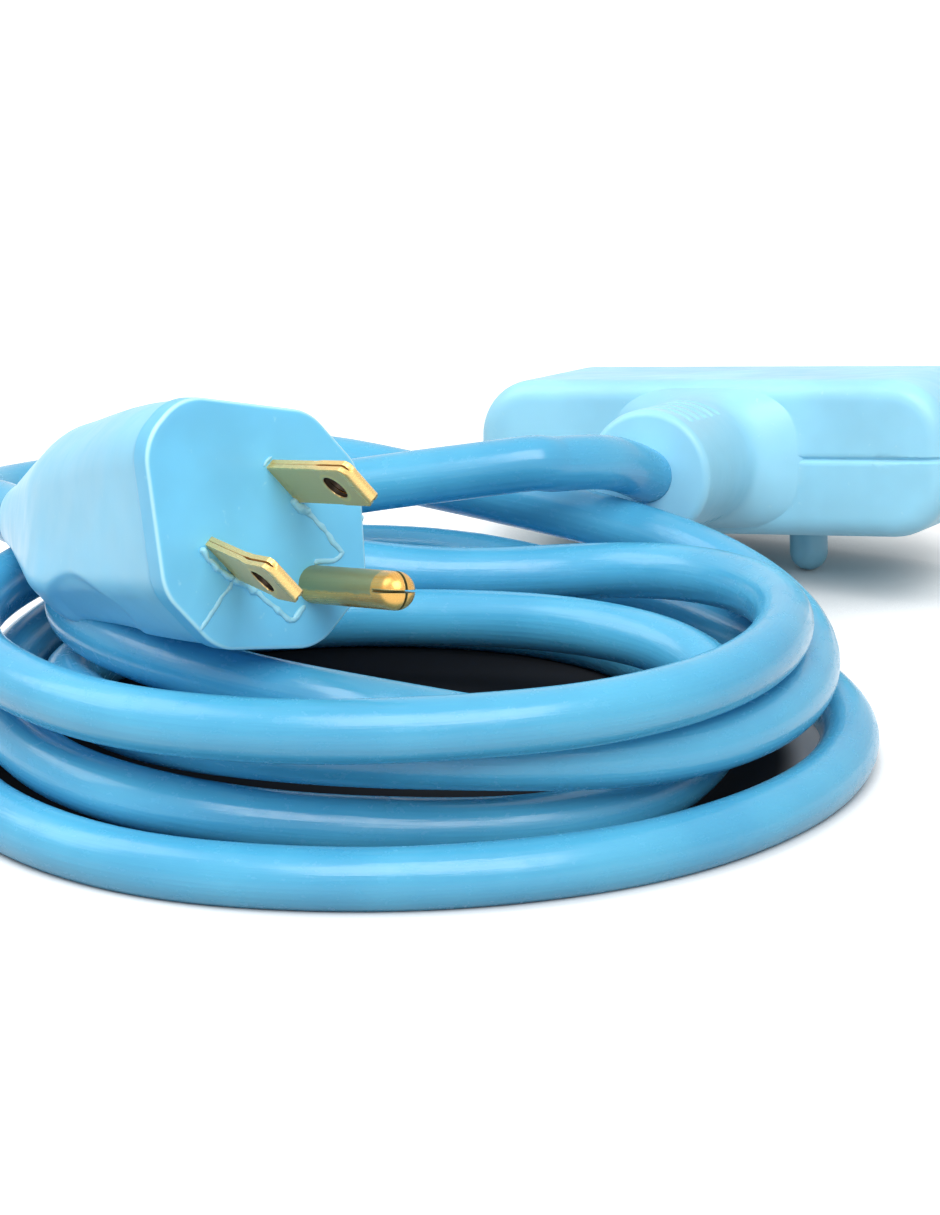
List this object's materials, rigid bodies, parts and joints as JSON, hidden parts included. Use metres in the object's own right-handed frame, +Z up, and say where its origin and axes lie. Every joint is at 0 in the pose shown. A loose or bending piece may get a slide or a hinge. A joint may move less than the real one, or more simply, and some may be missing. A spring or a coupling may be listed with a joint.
{
  "type": "coiled power cord",
  "caption": "Coiled three-wire power cord with a moulded grounding plug on one end and a moulded outlet block with a ribbed neck on the other.",
  "frame": {"origin": "on the surface that the cord lies on, below the middle of the plug and block together", "axes": "+Z up from that surface; +X toward the block's far end; +Y away from the plug's blades, toward the block"},
  "size_m": [0.1588, 0.1739, 0.0582],
  "materials": {
    "plug_pvc": "light blue flexible PVC overmould, fine satin surface",
    "cord_pvc": "glossy medium blue PVC jacket",
    "block_pvc": "light blue flexible PVC overmould, satin",
    "insert": "off-white rigid moulded insert",
    "brass": "rolled and folded brass, lightly tarnished",
    "pin_brass": "rolled brass with a greenish grey plating, bare at the tip",
    "copper": "stranded bare copper",
    "black_pvc": "black core insulation",
    "white_pvc": "white core insulation",
    "green_pvc": "green core insulation"
  },
  "bodies": {
    "root": {"plug_grip": "plug_pvc", "plug_bridge": "insert", "line_blade": "brass", "neutral_blade": "brass", "ground_pin": "pin_brass", "plug_jacket_end": "cord_pvc", "plug_line_core": "black_pvc", "plug_neutral_core": "white_pvc", "plug_ground_core": "green_pvc", "plug_line_strands": "copper", "plug_neutral_strands": "copper", "plug_ground_strands": "copper", "cord_lead_plug": "cord_pvc", "cord_coil": "cord_pvc", "cord_lead_outlet": "cord_pvc", "outlet_overmould": "block_pvc", "contact_carrier": "insert", "carrier_cover": "insert", "line_bus": "brass", "neutral_bus": "brass", "ground_bus": "brass", "outlet_jacket_end": "cord_pvc", "outlet_line_core": "black_pvc", "outlet_neutral_core": "white_pvc", "outlet_ground_core": "green_pvc", "outlet_line_strands": "copper", "outlet_neutral_strands": "copper", "outlet_ground_strands": "copper"}
  },
  "joints": []
}
